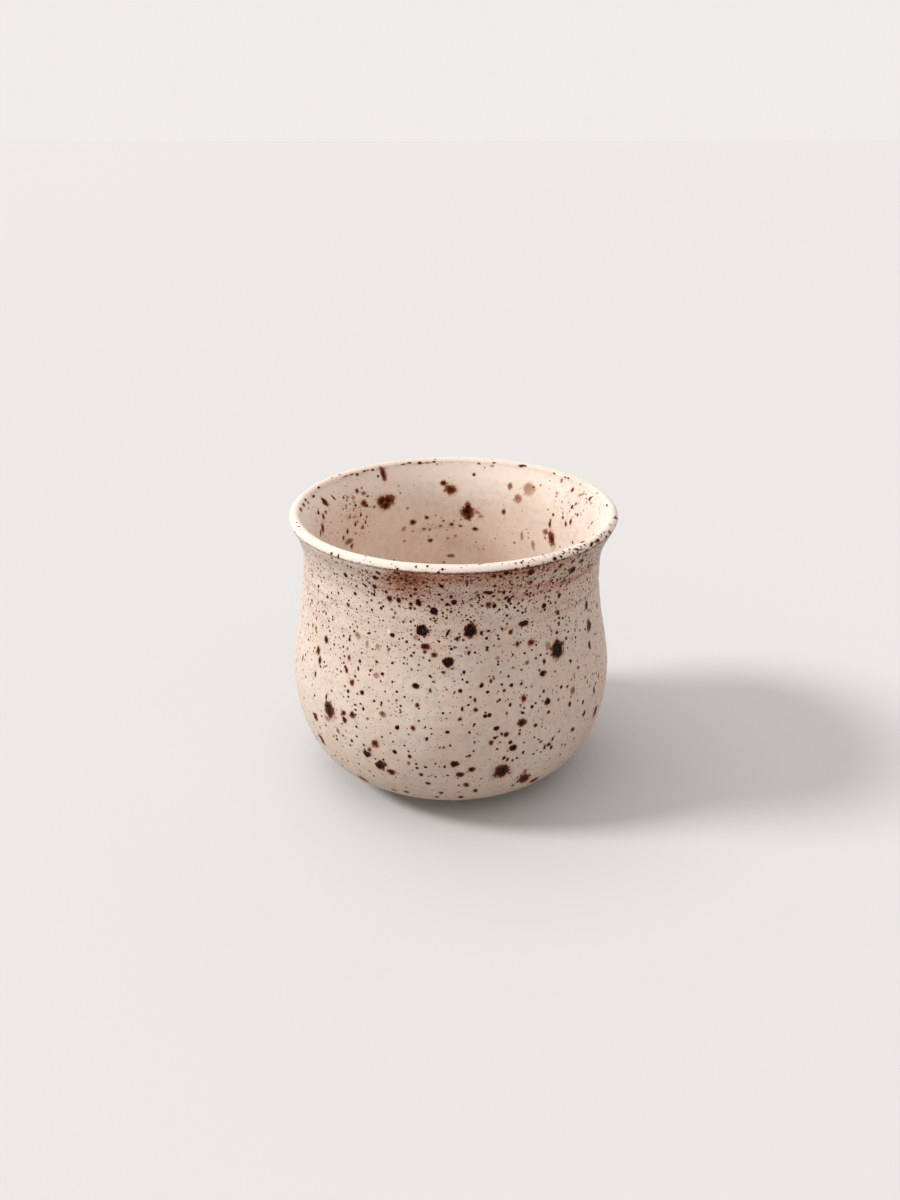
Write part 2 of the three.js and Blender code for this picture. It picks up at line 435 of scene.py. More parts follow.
spots_low_down = [
    (374.6, 743.4, 7, 7, 0.86), (366.5, 754, 8.5, 5, 0.2, -35), (380.3, 765.2, 11, 8, 0.25, -35),
    (390.4, 771.8, 8.5, 6, 0.45, 15), (394.1, 751.4, 5, 4, 0.15), (454.2, 763.7, 9, 6, 0.3),
    (459.3, 774.2, 8, 5, 0.5), (471, 769.2, 7, 4.5, 0.4, 12), (465.8, 784.6, 6, 4, 0.7),
    (475, 790, 4.5, 3, 0.6, 15), (501.4, 770.9, 17, 16, 0.45), (523.6, 778.2, 12, 7, 0.5, 30),
    (533.4, 779.8, 9, 2.5, 0.7, 32), (363.4, 744.6, 2.5, 2.5, 0.3), (369.1, 749.3, 4, 3, 0.85),
    (409.3, 755.9, 3.5, 4, 0.4), (408.2, 762.7, 3, 3, 0.9), (420.5, 774.3, 4, 3, 0.6),
    (427.3, 783, 5, 2.5, 0.7), (440.5, 792.6, 4.5, 2.2, 0.7), (460.4, 796.6, 4.5, 2.2, 0.7),
    (503.1, 757.5, 4, 3.5, 0.4), (507, 759.2, 3, 4, 0.8), (511.9, 759.9, 3, 3, 0.5),
    (522.8, 752.2, 2.5, 3.5, 0.4), (524.5, 770.3, 3, 2.5, 0.9), (512, 785, 3, 2, 0.8),
    (469.1, 755.3, 3, 2.5, 0.5), (444.4, 766.5, 2.5, 2.5, 0.5), (406.2, 791.4, 5, 1.8, 0.8),
    (394, 789.6, 6, 1.5, 0.8), (362.6, 778.4, 11, 1.8, 0.9, -32), (436.3, 796.5, 3.5, 1.6, 0.8),
]

# %% Spots on the inside wall and along the lip, in the same way
spots_inside = [
    (381.5, 500.6, 9.5, 10, 0.68), (388.6, 499.8, 10.5, 11, 0.64), (385.4, 504.6, 11, 9, 0.7),
    (466.6, 511.4, 14, 10, 0.7), (467.5, 507, 6, 10, 0.8), (468, 516, 7, 8, 0.8),
    (450, 489, 11, 9, 0.8, -20),
    (443, 482.4, 6, 5, 0.75, -30), (382.8, 473.5, 5, 14, 0.75, 5), (324.6, 501.6, 5, 10, 0.45, 35),
    (363.5, 502.9, 6, 6, 0.8), (363, 493, 4, 4, 0.9), (412.1, 522, 5.5, 5.5, 0.7),
    (426.4, 517, 4, 3.5, 0.8), (430, 539.9, 5, 4, 0.8), (474.8, 528.6, 6, 4, 0.8),
    (451.2, 523.8, 4, 3, 0.8), (450.8, 555.2, 7, 3, 0.9), (503.1, 511.4, 3.4, 5, 0.88),
    (550.8, 538.5, 6, 15, 0.75, 15), (545.2, 531.6, 5, 5, 0.9), (473.4, 474.1, 3, 3, 0.85),
    (520.9, 465.4, 5, 3, 0.5), (348.2, 541, 7, 5, 0.9), (322.2, 527.6, 3, 9, 0.7),
    (356.4, 490.5, 3, 4, 0.8), (403.4, 528.2, 4, 4, 1.0), (509.5, 486, 4, 6, 0.9),
    (517.2, 498, 6, 8, 0.92), (529, 488.8, 9, 10, 1.0), (521.2, 535.5, 2, 8, 0.95),
    (532.4, 545, 3, 8, 1.0), (343, 497, 2, 3, 0.6), (318, 512, 2, 4, 0.5),
    (591, 544, 5, 3, 0.4, 20), (582, 541.6, 6, 3, 0.85, 15), (597.5, 540, 4, 4, 0.6),
    (333, 497, 1.5, 7, 0.6, 30), (325.3, 511.4, 2, 3, 0.8), (323.1, 516, 2.2, 6, 0.8),
    (366, 505, 4, 3.5, 0.8, -30), (353.1, 497.1, 3, 3, 0.95), (347, 496.8, 3, 2.2, 0.95),
    (354.9, 505, 2.2, 2.5, 0.6), (373.9, 506.4, 2.4, 2.4, 0.9), (360.6, 514.6, 2.6, 3, 0.6),
    (366.4, 516.4, 2.2, 2.2, 0.6), (353.9, 516.4, 3, 2, 0.95), (349.2, 516.8, 2.2, 3, 0.9),
    (367.4, 495.7, 2, 2, 0.7), (377.4, 475.7, 2.2, 3, 0.3), (355, 524, 2.2, 4, 0.8),
    (362, 527, 3, 4, 0.9), (347, 531, 2.4, 5, 0.8), (365, 522, 2, 3, 0.6),
    (351, 545.5, 3, 3, 0.8), (343, 537, 2.2, 4, 0.8), (320, 533, 2, 5, 0.8),
    (404, 540.5, 3, 2, 0.95), (440, 525.5, 3, 1.8, 0.9), (460, 525.5, 4, 1.8, 0.85),
    (423.5, 528.5, 3.5, 2.4, 0.9), (447, 538, 3, 2.4, 0.95), (455, 535.5, 3, 2.2, 0.95),
    (477, 512, 5, 2.6, 0.95, -20), (480, 516, 4, 2, 0.97), (549.4, 523.8, 2.6, 6, 0.84),
    (550.3, 520, 1.6, 3.2, 0.8), (544.7, 537.8, 2.2, 2.4, 0.9), (562.5, 517, 2, 3, 0.6),
    (565, 523.8, 2.2, 5, 0.85), (570, 521, 2.2, 5.5, 0.8, -10), (591, 522.5, 1.6, 4, 0.8, -20),
    (571.9, 541.9, 1.8, 3, 0.6), (552.7, 514.2, 2.2, 2.8, 0.3), (571.5, 506.8, 2.2, 4, 0.4, -20),
    (575.4, 503.4, 1.6, 3, 0.6, -20), (576.9, 514.2, 1.8, 3, 0.6), (571.9, 489.5, 2.4, 4, 0.85, -30),
    (589.6, 498, 2.2, 5.5, 0.5, -35), (580.8, 494.2, 2.2, 6, 0.95, -55), (561.2, 479.9, 2, 4, 0.9),
    (556.5, 492.6, 2.4, 2.4, 0.97), (606.2, 504.5, 2.4, 1.8, 0.8), (533.1, 486.8, 1.8, 2, 0.6),
]
flecks_on_rim = [
    (318.1, 487.1, 3, 2.5, 0.4), (313.1, 495.7, 2.6, 2.6, 0.6), (305.3, 499.3, 2, 3, 0.5, -20),
    (303.5, 504.3, 2, 3.4, 0.6, -20), (308, 502, 2, 3, 0.8, -30), (300.5, 509, 1.8, 4, 0.8, -20),
    (372.1, 469.3, 3, 2, 0.4), (367.4, 469.6, 2.4, 1.6, 0.5), (364, 470.6, 3, 1.6, 0.6),
    (356.7, 473.9, 3.4, 3, 0.8, -30), (351.4, 473.9, 4, 1.6, 0.9), (345.3, 475.7, 5, 1.6, 0.95),
    (419.2, 462.6, 3.6, 3, 0.5), (433.5, 461.2, 3.4, 2.2, 0.4), (409.2, 462.3, 3, 1.6, 0.6),
    (402.8, 463.7, 4, 1.6, 0.8), (426.7, 462.3, 5, 1.6, 0.95), (478.1, 463, 3, 2, 0.8),
    (493.5, 462.3, 3.4, 1.6, 0.8), (491.4, 465.5, 3, 1.6, 0.95), (524, 465, 5, 1.8, 0.8, -10),
    (553.8, 473, 3, 1.8, 0.5, -20), (564.6, 476.8, 2.4, 1.8, 0.4), (567.7, 477.6, 2.4, 1.8, 0.6),
    (554.4, 558.4, 4.5, 4, 0.3), (560.5, 555.9, 3, 2.6, 0.3), (575.6, 548.4, 2.2, 2.4, 0.5),
    (580.5, 549, 2.2, 2.4, 0.5), (592.5, 534.7, 2.4, 1.8, 0.8), (605.6, 536.3, 2.4, 2.4, 0.8),
    (614.6, 517.5, 3.4, 1.8, 0.4, -40), (427, 565.5, 2.4, 2.4, 0.6), (415.5, 566, 2.2, 2.2, 0.6),
    (438, 572, 2.6, 2.4, 0.4), (397, 568.5, 2.4, 2.4, 0.5), (331, 553, 2.4, 3, 0.6),
    (482, 563, 2.4, 2.4, 0.3), (521, 562, 2.4, 2.6, 0.4), (586, 550, 2.4, 2.4, 0.4),
    (588, 565.6, 2, 5, 0.4, -25), (581, 560.3, 2.4, 5, 0.3, -35), (572.5, 561, 2.2, 5, 0.3, -30),
    (555, 570.6, 2.6, 4, 0.4, -25),
]


# %% A spot as it lies on the glaze
facing_up = 0.9


class IronSpot:
    """A melted grain: its middle, the two ways along the glaze, its half sizes and its rust."""

    def __init__(self, middle, facing, half_width, half_height, rust, lean=0):
        self.middle = middle
        steep = abs(facing.z) < facing_up
        level = up.cross(facing).normalized() if steep else Vector((1, 0, 0))
        self.across = Matrix.Rotation(math.radians(lean), 3, facing) @ level
        self.along = facing.cross(self.across).normalized()
        self.half_width = half_width
        self.half_height = half_height
        self.rust = rust

    def nearness(self, place):
        """1 in the middle, 0 on the edge, and below 0 outside."""
        off = place - self.middle
        share_across = off.dot(self.across) / self.half_width
        share_along = off.dot(self.along) / self.half_height
        return 1 - math.hypot(share_across, share_along)

    def reach(self):
        """Half of the spot's longer side."""
        return max(self.half_width, self.half_height)


# %% From pixels to places on the glaze
longest_spot_half = 2.6 * MM
eye = camera.matrix_world.translation
outer_tree = BVHTree.FromBMesh(outer_coat)
inner_tree = BVHTree.FromBMesh(inner_coat)


def seen_at(pixel_x, pixel_y):
    """The tree, place and facing of what the camera sees at a pixel, or None."""
    way = sight_line(pixel_x, pixel_y)
    nearest = None
    nearest_distance = math.inf
    for tree in (outer_tree, inner_tree):
        place, facing, _, distance = tree.ray_cast(eye, way)
        if place is not None and distance < nearest_distance:
            nearest = (tree, place, facing)
            nearest_distance = distance
    return nearest


def spot_from_pixels(pixel_x, pixel_y, wide, high, rust, lean=0):
    """The coat and the iron spot that a picture shows at a pixel."""
    seen = seen_at(pixel_x, pixel_y)
    if seen is None:
        print("no glaze at pixel", pixel_x, pixel_y)
        return None
    tree, middle, facing = seen
    spot = IronSpot(middle, facing, 1, 1, rust, lean)
    spot.half_width = wide / 2 / pixels_per_metre(middle, spot.across)
    spot.half_height = high / 2 / pixels_per_metre(middle, spot.along)
    return tree, spot


outer_spots = []
inner_spots = []
seen_spots = spots_on_shoulder + spots_under_lip + spots_on_belly + spots_low_down
for row in seen_spots + spots_inside + flecks_on_rim:
    found = spot_from_pixels(*row)
    if found:
        tree, spot = found
        spot.half_width = min(longest_spot_half, spot.half_width)
        spot.half_height = min(longest_spot_half, spot.half_height)
        spots = outer_spots if tree is outer_tree else inner_spots
        spots.append(spot)
print("spots from the picture:", len(outer_spots), "outside,", len(inner_spots), "inside")
sizes = sorted(2 * spot.reach() / MM for spot in outer_spots)
print("their sizes run from", round(sizes[0], 1), "to", round(sizes[-1], 1), "mm")

# %% Spots where no picture reaches
dice = random.Random(7)
smallest_spot = 0.32 * MM
largest_spot = 1.9 * MM
rarity = 0.6
stretch_range = (0.75, 1.3)
rust_range = (0.1, 1.1)
most_lean = 40
sight_slack = 0.5 * MM


def hidden(place):
    """Whether the camera's view of a place is blocked by the cup itself."""
    away = place - eye
    for tree in (outer_tree, inner_tree):
        hit = tree.ray_cast(eye, away.normalized(), away.length - sight_slack)
        if hit[0] is not None:
            return True
    return False


def drawn_spot(tree, origin, way):
    """A spot of random size where a line meets a coat out of the camera's sight, or None."""
    middle, facing, _, _ = tree.ray_cast(origin, way)
    if middle is None or not hidden(middle):
        return None
    half = min(largest_spot, smallest_spot * (1 - dice.random()) ** -rarity)
    stretch = dice.uniform(*stretch_range)
    rust = dice.uniform(*rust_range)
    lean = dice.uniform(-most_lean, most_lean)
    return IronSpot(middle, facing, half * stretch, half / stretch, rust, lean)


# %% Throwing spots at the outside from all round, and at the inside from its middle
tries_outside = 520
tries_inside = 200
far_out = 2 * belly_radius
inside_middle = 1.4 * belly_height * up
tilt_range = (-1.4, 0.5)

for _ in range(tries_outside):
    outwards = way_out(dice.uniform(0, 2 * math.pi))
    height = dice.uniform(glaze_line_height, bead_centre.z)
    spot = drawn_spot(outer_tree, far_out * outwards + height * up, -outwards)
    if spot:
        outer_spots.append(spot)
for _ in range(tries_inside):
    outwards = way_out(dice.uniform(0, 2 * math.pi))
    tilt = dice.uniform(*tilt_range)
    spot = drawn_spot(inner_tree, inside_middle, (outwards + tilt * up).normalized())
    if spot:
        inner_spots.append(spot)
print("spots in all:", len(outer_spots), "outside,", len(inner_spots), "inside")

# %% [markdown]
# ## A finer mesh just where it is needed
# A spot two millimetres wide needs points about a fifth of a millimetre apart, or its
# crater turns blocky. The whole coat at that fineness would be a million faces, so only
# the faces round each spot are cut in four, twice. Everywhere else the shader draws the
# fine speckle, which costs no faces at all.

# %% Refining round the spots
refine_margin = 0.3 * MM
refine_passes = 2


def refined_round(bm, spots):
    """Cuts the edges near the spots in half, twice over."""
    for _ in range(refine_passes):
        tree = KDTree(len(bm.edges))
        edges = list(bm.edges)
        for i, edge in enumerate(edges):
            tree.insert((edge.verts[0].co + edge.verts[1].co) / 2, i)
        tree.balance()
        near = set()
        for spot in spots:
            found = tree.find_range(spot.middle, spot.reach() + refine_margin)
            near.update(i for _, i, _ in found)
        chosen = [edges[i] for i in sorted(near)]
        bmesh.ops.subdivide_edges(bm, edges=chosen, cuts=1, use_grid_fill=True)
    many_sided = [face for face in bm.faces if len(face.verts) > 4]
    bmesh.ops.triangulate(bm, faces=many_sided)
    bm.normal_update()


bubble_pixel = (389.4, 632.3)
bubble_pixels_across = 4
bubble_spot = spot_from_pixels(*bubble_pixel, bubble_pixels_across, bubble_pixels_across, 0)[1]
refined_round(outer_coat, outer_spots + [bubble_spot])
refined_round(inner_coat, inner_spots)
print("after refining:", len(outer_coat.faces), "faces outside,", len(inner_coat.faces), "inside")

# %% [markdown]
# ## Relief in the glaze
# Up close the wall isn't smooth. Fingers leave rings, the glaze settles a little
# unevenly, and each iron spot is a small crater with a raised rim. Bump in a material
# would fake all this, but not at the edge of the shape, nor in a mesh that is handed on,
# so real points are moved along the surface's own facing. Only the face of each coat
# moves: its back stays on the clay.

# %% Finger rings: faint ones all the way up, broad with finer ones on top
ring_relief = 0.13 * MM
inner_ring_relief = 0.11 * MM
ring_spacing = 4.2 * MM
ring_wander = 0.5
fine_ring_share = 0.6
fine_ring_spacing = 1.45 * MM


def climbing_noise(place, spacing):
    """Noise drawn out round the axis, that climbs as it goes round.

    Towards the side where the bearing jumps by a full turn, it goes over into level noise,
    so that no seam shows."""
    bearing = bearing_of(place)
    turn = bearing / (2 * math.pi)
    across = way_out(bearing) * ring_wander
    blend = abs(turn) * 2
    climbed = noise.noise(across + up * (place.z / spacing + turn))
    level = noise.noise(across + up * (place.z / spacing))
    return climbed * (1 - blend) + level * blend


def ring_height(place):
    """How far the faint finger rings stand out at a place, from about -1 to 1."""
    broad = climbing_noise(place, ring_spacing)
    fine = climbing_noise(place, fine_ring_spacing)
    return broad * (1 - fine_ring_share) + fine * fine_ring_share


# %% The rings that a picture shows: height in mm, how far each stands out, how brown below
# (the brown below is partly thin glaze and partly painted shade under the ridge)
seen_rings = [
    (45.2, 0.3, 0.1), (50.8, 0.35, 0.15), (56.3, 0.85, 0.5), (60.8, 1.0, 1.1),
    (63.4, 0.8, 0.7), (68.9, 0.7, 0.7), (71.2, 0.6, 0.2),
]
seen_ring_relief = 0.15 * MM
seen_ring_reach = 0.6 * MM
seen_ring_drift = 0.12 * MM
seen_ring_waves = 0.8
ring_strength = 0.95
strength_change = 0.7
strength_waves = 1.9
thin_and_shaded_line_below = 0.9 * MM


def seen_ring_marks(place):
    """Relief of the seen rings at a place, and the brown line below: thin glaze and painted shade.
    """
    across = way_out(bearing_of(place))
    relief = 0
    thin_and_shaded_line = 0
    for height, rise, brown in seen_rings:
        level = noise.noise(across * seen_ring_waves + up * height)
        change = noise.noise(across * strength_waves - up * height)
        fading = ring_strength + strength_change * change
        above = place.z - height * MM - seen_ring_drift * level
        below_line = above + thin_and_shaded_line_below
        relief += rise * fading * math.exp(-(above / seen_ring_reach) ** 2)
        thin_and_shaded_line += brown * fading * math.exp(-(below_line / seen_ring_reach) ** 2)
    return relief, thin_and_shaded_line


# %% Craters at the iron spots
crater_depth = 0.15 * MM
crater_rim = 0.35
crater_rim_place = 1.05
crater_rim_width = 0.25
full_crater_reach = 1.3 * MM
marked_reach = 2.6
unmarked = (-2, 0, 0)


def crater(nearness, reach):
    """Depth of a spot: a bowl with a rim, shallower where the spot is small."""
    away = 1 - nearness
    bowl_shape = -max(0, 1 - away * away) ** 2
    rim_shape = crater_rim * math.exp(-((away - crater_rim_place) / crater_rim_width) ** 2)
    return crater_depth * min(1, reach / full_crater_reach) * (bowl_shape + rim_shape)


def strongest_marks(bm, spots):
    """For each vertex near a spot: how near it is, how rusty, and how deep the crater."""
    tree = KDTree(len(bm.verts))
    for i, vert in enumerate(bm.verts):
        tree.insert(vert.co, i)
    tree.balance()
    marks = {}
    for spot in spots:
        for place, i, _ in tree.find_range(spot.middle, marked_reach * spot.reach()):
            near = spot.nearness(place)
            best = marks.get(i)
            if best is None or near > best[0]:
                marks[i] = (near, spot.rust, crater(near, spot.reach()))
    return marks


# %% The lip's own relief, and the way that the glaze faces there
outer_edge_angle = math.radians(9)
inner_edge_angle = math.radians(148)
lip_ridge = 0.14 * MM
lip_ridge_reach = 0.4 * MM
lip_groove = 0.16 * MM
lip_groove_below = 0.9 * MM
lip_groove_reach = 0.6 * MM
bead_reach = 1.05 * bead_radius


def lip_middle(place):
    """The middle of the lip's round bead nearest to a place."""
    return wobbled(Matrix.Rotation(bearing_of(place), 3, "Z") @ bead_centre)


def facing_of(vert):
    """The way that the glaze faces at a vertex, the same for both coats where they meet."""
    off_bead = vert.co - lip_middle(vert.co)
    return off_bead.normalized() if off_bead.length < bead_reach else vert.normal


def below_lip_edge(place, edge_angle):
    """How far a place lies below an edge of the lip, given by its angle on the bead."""
    return lip_middle(place).z + bead_radius * math.sin(edge_angle) - place.z


def lip_edge_relief(below):
    """A slight ridge along the outer edge of the lip, and a groove under it."""
    ridge = lip_ridge * math.exp(-(below / lip_ridge_reach) ** 2)
    groove = lip_groove * math.exp(-((below - lip_groove_below) / lip_groove_reach) ** 2)
    return ridge - groove


# %% Unevenness of the glaze, a notch in the lip and a burst bubble
lump_relief = 0.10 * MM
lump_sinking = 0.5
lump_size = 13 * MM
grain_relief = 0.035 * MM
grain_size = 2.2 * MM
lip_notch_pixel = (314, 541)
lip_notch_depth = 0.35 * MM
lip_notch_reach = 1.3 * MM
bubble_height = 0.4 * MM
bubble_reach = 0.45 * MM
notch = seen_at(*lip_notch_pixel)[1]
bubble = bubble_spot.middle


def relief_of(place, rings):
    """How far the glaze stands out at a place, its iron spots left aside."""
    below_lip = 1 - smooth_share(place.z, neck_height, bead_centre.z - bead_radius)
    height = rings * below_lip * ring_height(place)
    height += lump_relief * (noise.noise(place / lump_size) - lump_sinking)
    height += grain_relief * noise.noise(place / grain_size)
    height -= lip_notch_depth * math.exp(-((place - notch).length / lip_notch_reach) ** 2)
    height += bubble_height * math.exp(-((place - bubble).length / bubble_reach) ** 2)
    return height


# %% Moving the faces, and writing the marks that the shader will read
faintest_line = 0.6
faint_side = -0.6 * lip_radius
strong_side = 0.5 * lip_radius
inner_line_share = 0.15


def finish_face(bm, spots, rings, edge_angle, seen_share, line_side, line_share):
    """Moves the face of a coat by its relief, and writes its marks onto the vertices."""
    skin = bm.verts.layers.float["skin"]
    iron = bm.verts.layers.float.new("iron")
    rust = bm.verts.layers.float.new("rust")
    under = bm.verts.layers.float.new("under")
    lined = bm.verts.layers.float.new("lined")
    thinned_and_shaded = bm.verts.layers.float.new("thin")
    marks = strongest_marks(bm, spots)
    moves = []
    for i, vert in enumerate(bm.verts):
        near, rusty, height = marks.get(i, unmarked)
        below = below_lip_edge(vert.co, edge_angle)
        vert[iron] = near
        vert[rust] = rusty
        vert[under] = below
        seen_relief, thin_and_shaded_line = seen_ring_marks(vert.co)
        # The brown line below each seen ring: partly thin glaze, partly painted shade under the
        # ridge.
        vert[thinned_and_shaded] = seen_share * thin_and_shaded_line
        towards_side = smooth_share(line_side * vert.co.x, faint_side, strong_side)
        vert[lined] = line_share * (faintest_line + (1 - faintest_line) * towards_side)
        height += relief_of(vert.co, rings)
        height += seen_share * (lip_edge_relief(below) + seen_ring_relief * seen_relief)
        moves.append(height * vert[skin] * facing_of(vert))
    for vert, move in zip(bm.verts, moves):
        vert.co += move
    longest = max(move.length for move in moves)
    print("relief moved the face by up to", round(longest / MM, 2), "mm")


finish_face(
    outer_coat, outer_spots, ring_relief, outer_edge_angle,
    seen_share=1, line_side=1, line_share=1)
finish_face(
    inner_coat, inner_spots, inner_ring_relief, inner_edge_angle,
    seen_share=0, line_side=-1, line_share=inner_line_share)

# %% [markdown]
# ## Dust, scorching, painted shade and the lower edge of the glaze
# Between the large spots the glaze carries fine specks, thick as pepper on the neck and
# thin on the belly. On the neck the glaze is also thinner, so the brown clay shows through
# it, most of all in one reddish patch where the flame touched it. Along the neck under the
# lip's overhang the same brown is partly stain and partly painted shade, and one patch makes
# it darker low inside the cup. The shader can draw any number of specks and any stain, but
# it must be told how much of them goes where: that is written onto the vertices as a share,
# mostly from 0 to 1. One more share says where the glaze is pale; lowered, it paints shade
# on the far rim and the inner right wall, and raised, it paints a glint on the burst bubble.
# Another marks the inside, whose specks are rustier. Patches are placed like the spots, by
# pixel, and fade out softly.

# %% Patches: pixel across, pixel down, width and height in pixels, strength
# The strongest scorch patch is real scorch. Those along the neck under the lip are partly painted
# shade of the overhang, and one darkens low inside the cup.
scorch_and_shade_patches = [
    (405, 578, 38, 17, 1.0), (402, 591, 52, 20, 0.36), (380, 582, 30, 18, 0.2),
    (440, 577, 50, 14, 0.24), (458, 578, 84, 17, 0.42), (456, 596, 100, 16, 0.18),
    (504, 580, 50, 18, 0.30), (508, 599, 74, 20, 0.16), (500, 573.5, 80, 6, 0.45),
    (552, 564, 76, 20, 0.44), (550, 587, 84, 18, 0.20), (548, 605, 84, 16, 0.08),
    (590, 564, 44, 60, 0.22), (548, 584, 110, 3.5, 0.4, -8), (345, 594, 60, 20, 0.05),
    (434, 527, 58, 6, 0.30, 3), (452, 542, 22, 16, 0.28), (356, 512, 26, 48, 0.14),
]
dusty_patches = [
    (408, 582, 70, 24, 0.6), (465, 590, 130, 26, 0.5), (550, 575, 90, 40, 0.45),
    (560, 555, 60, 9, 0.8), (597, 545, 40, 10, 0.8), (356, 512, 26, 50, 0.75),
    (345, 498, 20, 22, 0.4), (323, 522, 14, 40, 0.6), (582, 508, 46, 34, 0.4),
    (448, 524, 50, 8, 0.5), (468, 545, 40, 16, 0.15), (*bubble_pixel, 5, 5, -1),
    (326, 567, 60, 42, -0.6),
]
# Pale patches: the one on the bubble is a painted glint; the negative ones are painted shade on the
# far rim and the inner right wall.
pale_and_painted_light_patches = [
    (*bubble_pixel, 3.5, 3.5, 2.5), (352, 478, 110, 16, -0.7), (450, 464, 110, 12, -0.6),
    (543, 471, 100, 14, -0.8), (575, 505, 64, 60, -1.0),
]

# %% Dust by height: millimetres up, and the share of specks there
dust_by_height = [
    (4, 0.08), (14, 0.14), (36, 0.20), (48, 0.32), (56, 0.50), (65, 0.78), (70, 1.1),
    (75, 1.1), (76.4, 0.9), (77.2, 0.2), (78.5, 0.2),
]
dust_inside = 0.02
patch_edge = 3


def between_heights(table, height):
    """A value read off a list of heights in millimetres and values, evenly between them."""
    for (low, first), (high, second) in zip(table, table[1:]):
        if height <= high:
            share = min(max((height - low) / (high - low), 0), 1)
            return first + (second - first) * share
    return table[-1][1]


def patched(bm, tree, patches, layer_name, start):
    """Writes a soft-edged share onto a coat: a starting value, and more in each patch.

    A patch is measured as a spot is, with its strength where a spot has its rust."""
    layer = bm.verts.layers.float.new(layer_name)
    for vert in bm.verts:
        vert[layer] = start(vert.co)
    for row in patches:
        found_tree, patch = spot_from_pixels(*row)
        if found_tree is not tree:
            continue
        for vert in bm.verts:
            if (vert.co - patch.middle).length < patch_edge * patch.reach():
                away = 1 - patch.nearness(vert.co)
                vert[layer] += patch.rust * math.exp(-away * away)


def dust_outside(place):
    """The share of specks on the outside, by height."""
    return between_heights(dust_by_height, place.z / MM)


def pale_outside(place):
    """The outside is as pale as the inside on the upper half of the lip only."""
    return smooth_share(place.z, bead_centre.z - bead_radius, bead_centre.z)


patched(outer_coat, outer_tree, dusty_patches, "dust", dust_outside)
patched(inner_coat, inner_tree, dusty_patches, "dust", lambda place: dust_inside)
# The scorch share is part real scorch and part painted shade under the lip.
patched(outer_coat, outer_tree, scorch_and_shade_patches, "scorch_and_shade", lambda place: 0)
patched(inner_coat, inner_tree, scorch_and_shade_patches, "scorch_and_shade", lambda place: 0)
# The patches lower the pale share into painted shade and raise it into a painted glint.
patched(outer_coat, outer_tree, pale_and_painted_light_patches, "pale", pale_outside)
patched(inner_coat, inner_tree, pale_and_painted_light_patches, "pale", lambda place: 1)
patched(outer_coat, outer_tree, [], "inside", lambda place: 0)
patched(inner_coat, inner_tree, [], "inside", lambda place: 1)
for name in ("dust", "scorch_and_shade", "pale"):
    layer = outer_coat.verts.layers.float[name]
    print(name, "outside reaches", round(max(vert[layer] for vert in outer_coat.verts), 2))

# %% The lower edge of the outer coat wanders a little
edge_wander = 0.5 * MM
edge_reach = 3.0 * MM
edge_waves = 2.2
wall_slope = math.radians(36)
for vert in outer_coat.verts:
    above_line = vert.co.z - glaze_line_height
    if above_line < edge_reach:
        outwards = way_out(bearing_of(vert.co))
        uphill = outwards * math.cos(wall_slope) + up * math.sin(wall_slope)
        share = 1 - max(0, above_line) / edge_reach
        vert.co += edge_wander * share * noise.noise(edge_waves * outwards) * uphill
lowest_glaze = min(vert.co.z for vert in outer_coat.verts)
print("the outer coat ends", round(lowest_glaze / MM, 1), "mm up at its lowest")

# %% [markdown]
# ## The clay pot
# The clay shows only underneath, but a cup is often turned over to look at its foot. The
# foot ring is cut with a loop tool while the pot spins upside down, which leaves fine
# grooves and a crisp ring with softened edges. The hidden wall under the glaze follows
# the same outline, a glaze thickness deeper, with few points.

# %% Section of the clay pot
clay_depth = glaze_thickness + bond_gap
clay_wall_every = 6
corner_steps = 4
groove_step = 0.5 * MM
foot_fillet = 0.7 * MM
inner_foot_radius = foot_radius - foot_width


def corner(middle_radius, middle_height, radius, start_quarter, end_quarter):
    """Points of a quarter-round corner. Quarters count anticlockwise from outwards."""
    points = []
    for i in range(corner_steps + 1):
        quarter = start_quarter + (end_quarter - start_quarter) * i / corner_steps
        angle = quarter * math.pi / 2
        points.append(spot_at(
            middle_radius + radius * math.cos(angle), middle_height + radius * math.sin(angle)))
    return points


def straight(start, end):
    """Evenly spaced points from one place to another."""
    steps = max(1, round((end - start).length / groove_step))
    return [start.lerp(end, i / steps) for i in range(steps + 1)]


bare_clay = sunk(bare_underside, clay_depth)
recess_corner = corner(inner_foot_radius - foot_edge, foot_recess - foot_edge, foot_edge, 1, 0)
inner_edge = corner(inner_foot_radius + foot_edge, foot_edge, foot_edge, 2, 3)
outer_edge = corner(foot_radius - foot_edge, foot_edge, foot_edge, 3, 4)
foot_top = bare_clay[0].z - foot_fillet
foot_corner = corner(foot_radius + foot_fillet, foot_top, foot_fillet, 2, 1)
clay_section = (
    straight(spot_at(0, foot_recess), recess_corner[0])
    + recess_corner[1:] + inner_edge
    + straight(inner_edge[-1], outer_edge[0])[1:-1] + outer_edge
    + foot_corner
    + [p for p in bare_clay if p.x > foot_radius + foot_fillet]
    + sunk(outside_wall, clay_depth, clay_wall_every)[1:]
    + sunk(outside_lip, clay_depth, hidden_lip_every)[1:]
    + sunk(inside_lip, clay_depth, hidden_lip_every)[1:]
    + ended_on_axis(sunk(inside_wall, clay_depth, clay_wall_every))[1:]
)
clay_around_steps = 240
clay_pot = turned(clay_section, False, clay_around_steps)

